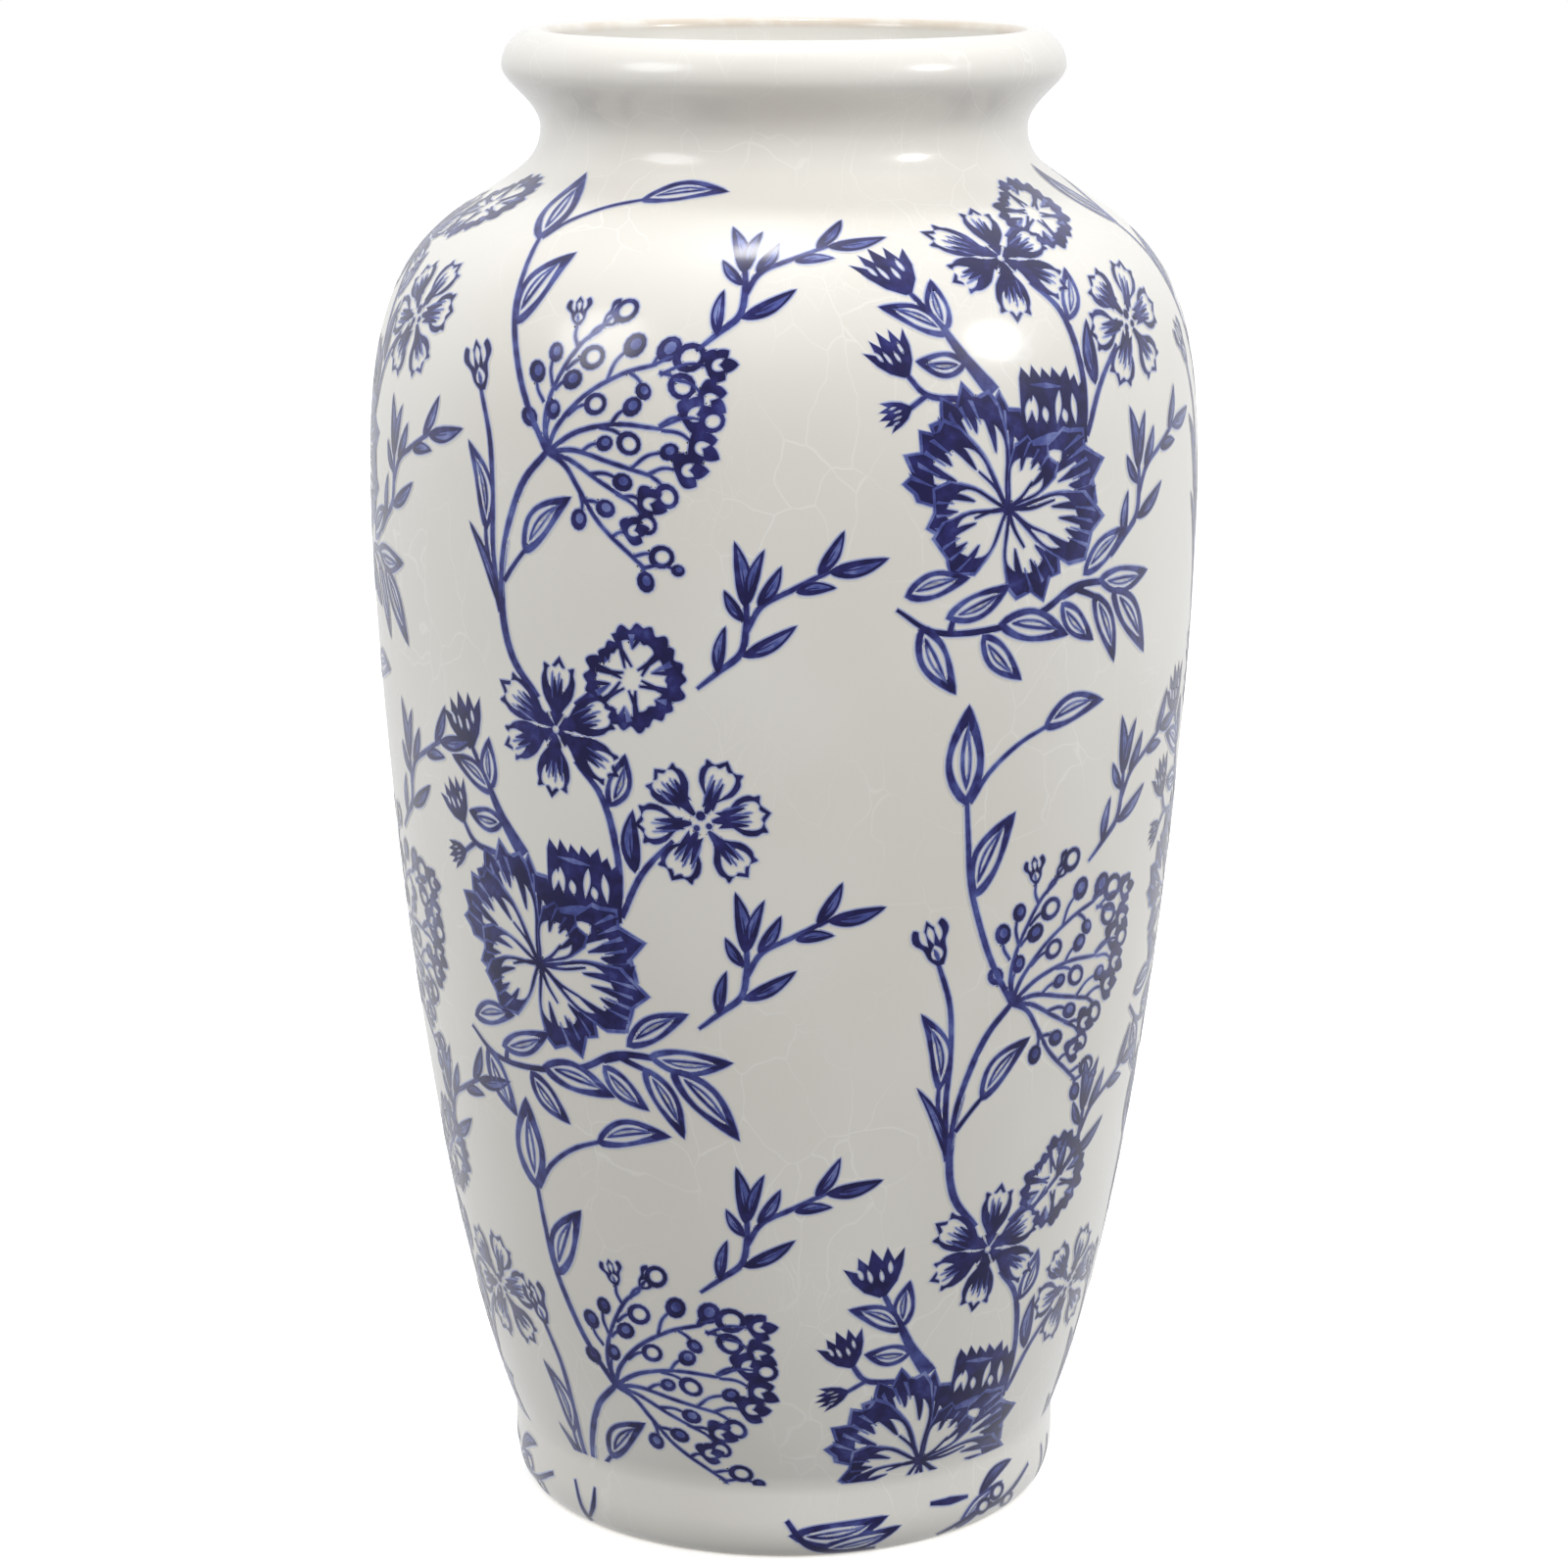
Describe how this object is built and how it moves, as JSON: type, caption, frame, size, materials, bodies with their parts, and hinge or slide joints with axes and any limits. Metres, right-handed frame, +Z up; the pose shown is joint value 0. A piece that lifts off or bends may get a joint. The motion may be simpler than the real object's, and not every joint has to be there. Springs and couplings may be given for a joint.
{
  "type": "porcelain vase",
  "caption": "Tall tapered porcelain vase with a high round shoulder, short neck, rolled rim and low foot, glazed inside and out over a bare foot ring.",
  "frame": {"origin": "centre of the foot ring's resting face", "axes": "+Z up along the vase's axis, from the foot to the mouth"},
  "size_m": [0.1384, 0.1384, 0.25],
  "materials": {
    "biscuit": "bare fired porcelain, matt and slightly rough, toasted cream",
    "printed_glaze": "clear glossy glaze over a blue transfer print, warm off-white with fine crazing",
    "plain_glaze": "clear glossy glaze, warm off-white, no print"
  },
  "bodies": {
    "root": {"porcelain_body": "biscuit", "outer_glaze": "printed_glaze", "inner_glaze": "plain_glaze", "base_glaze": "plain_glaze"}
  },
  "joints": []
}
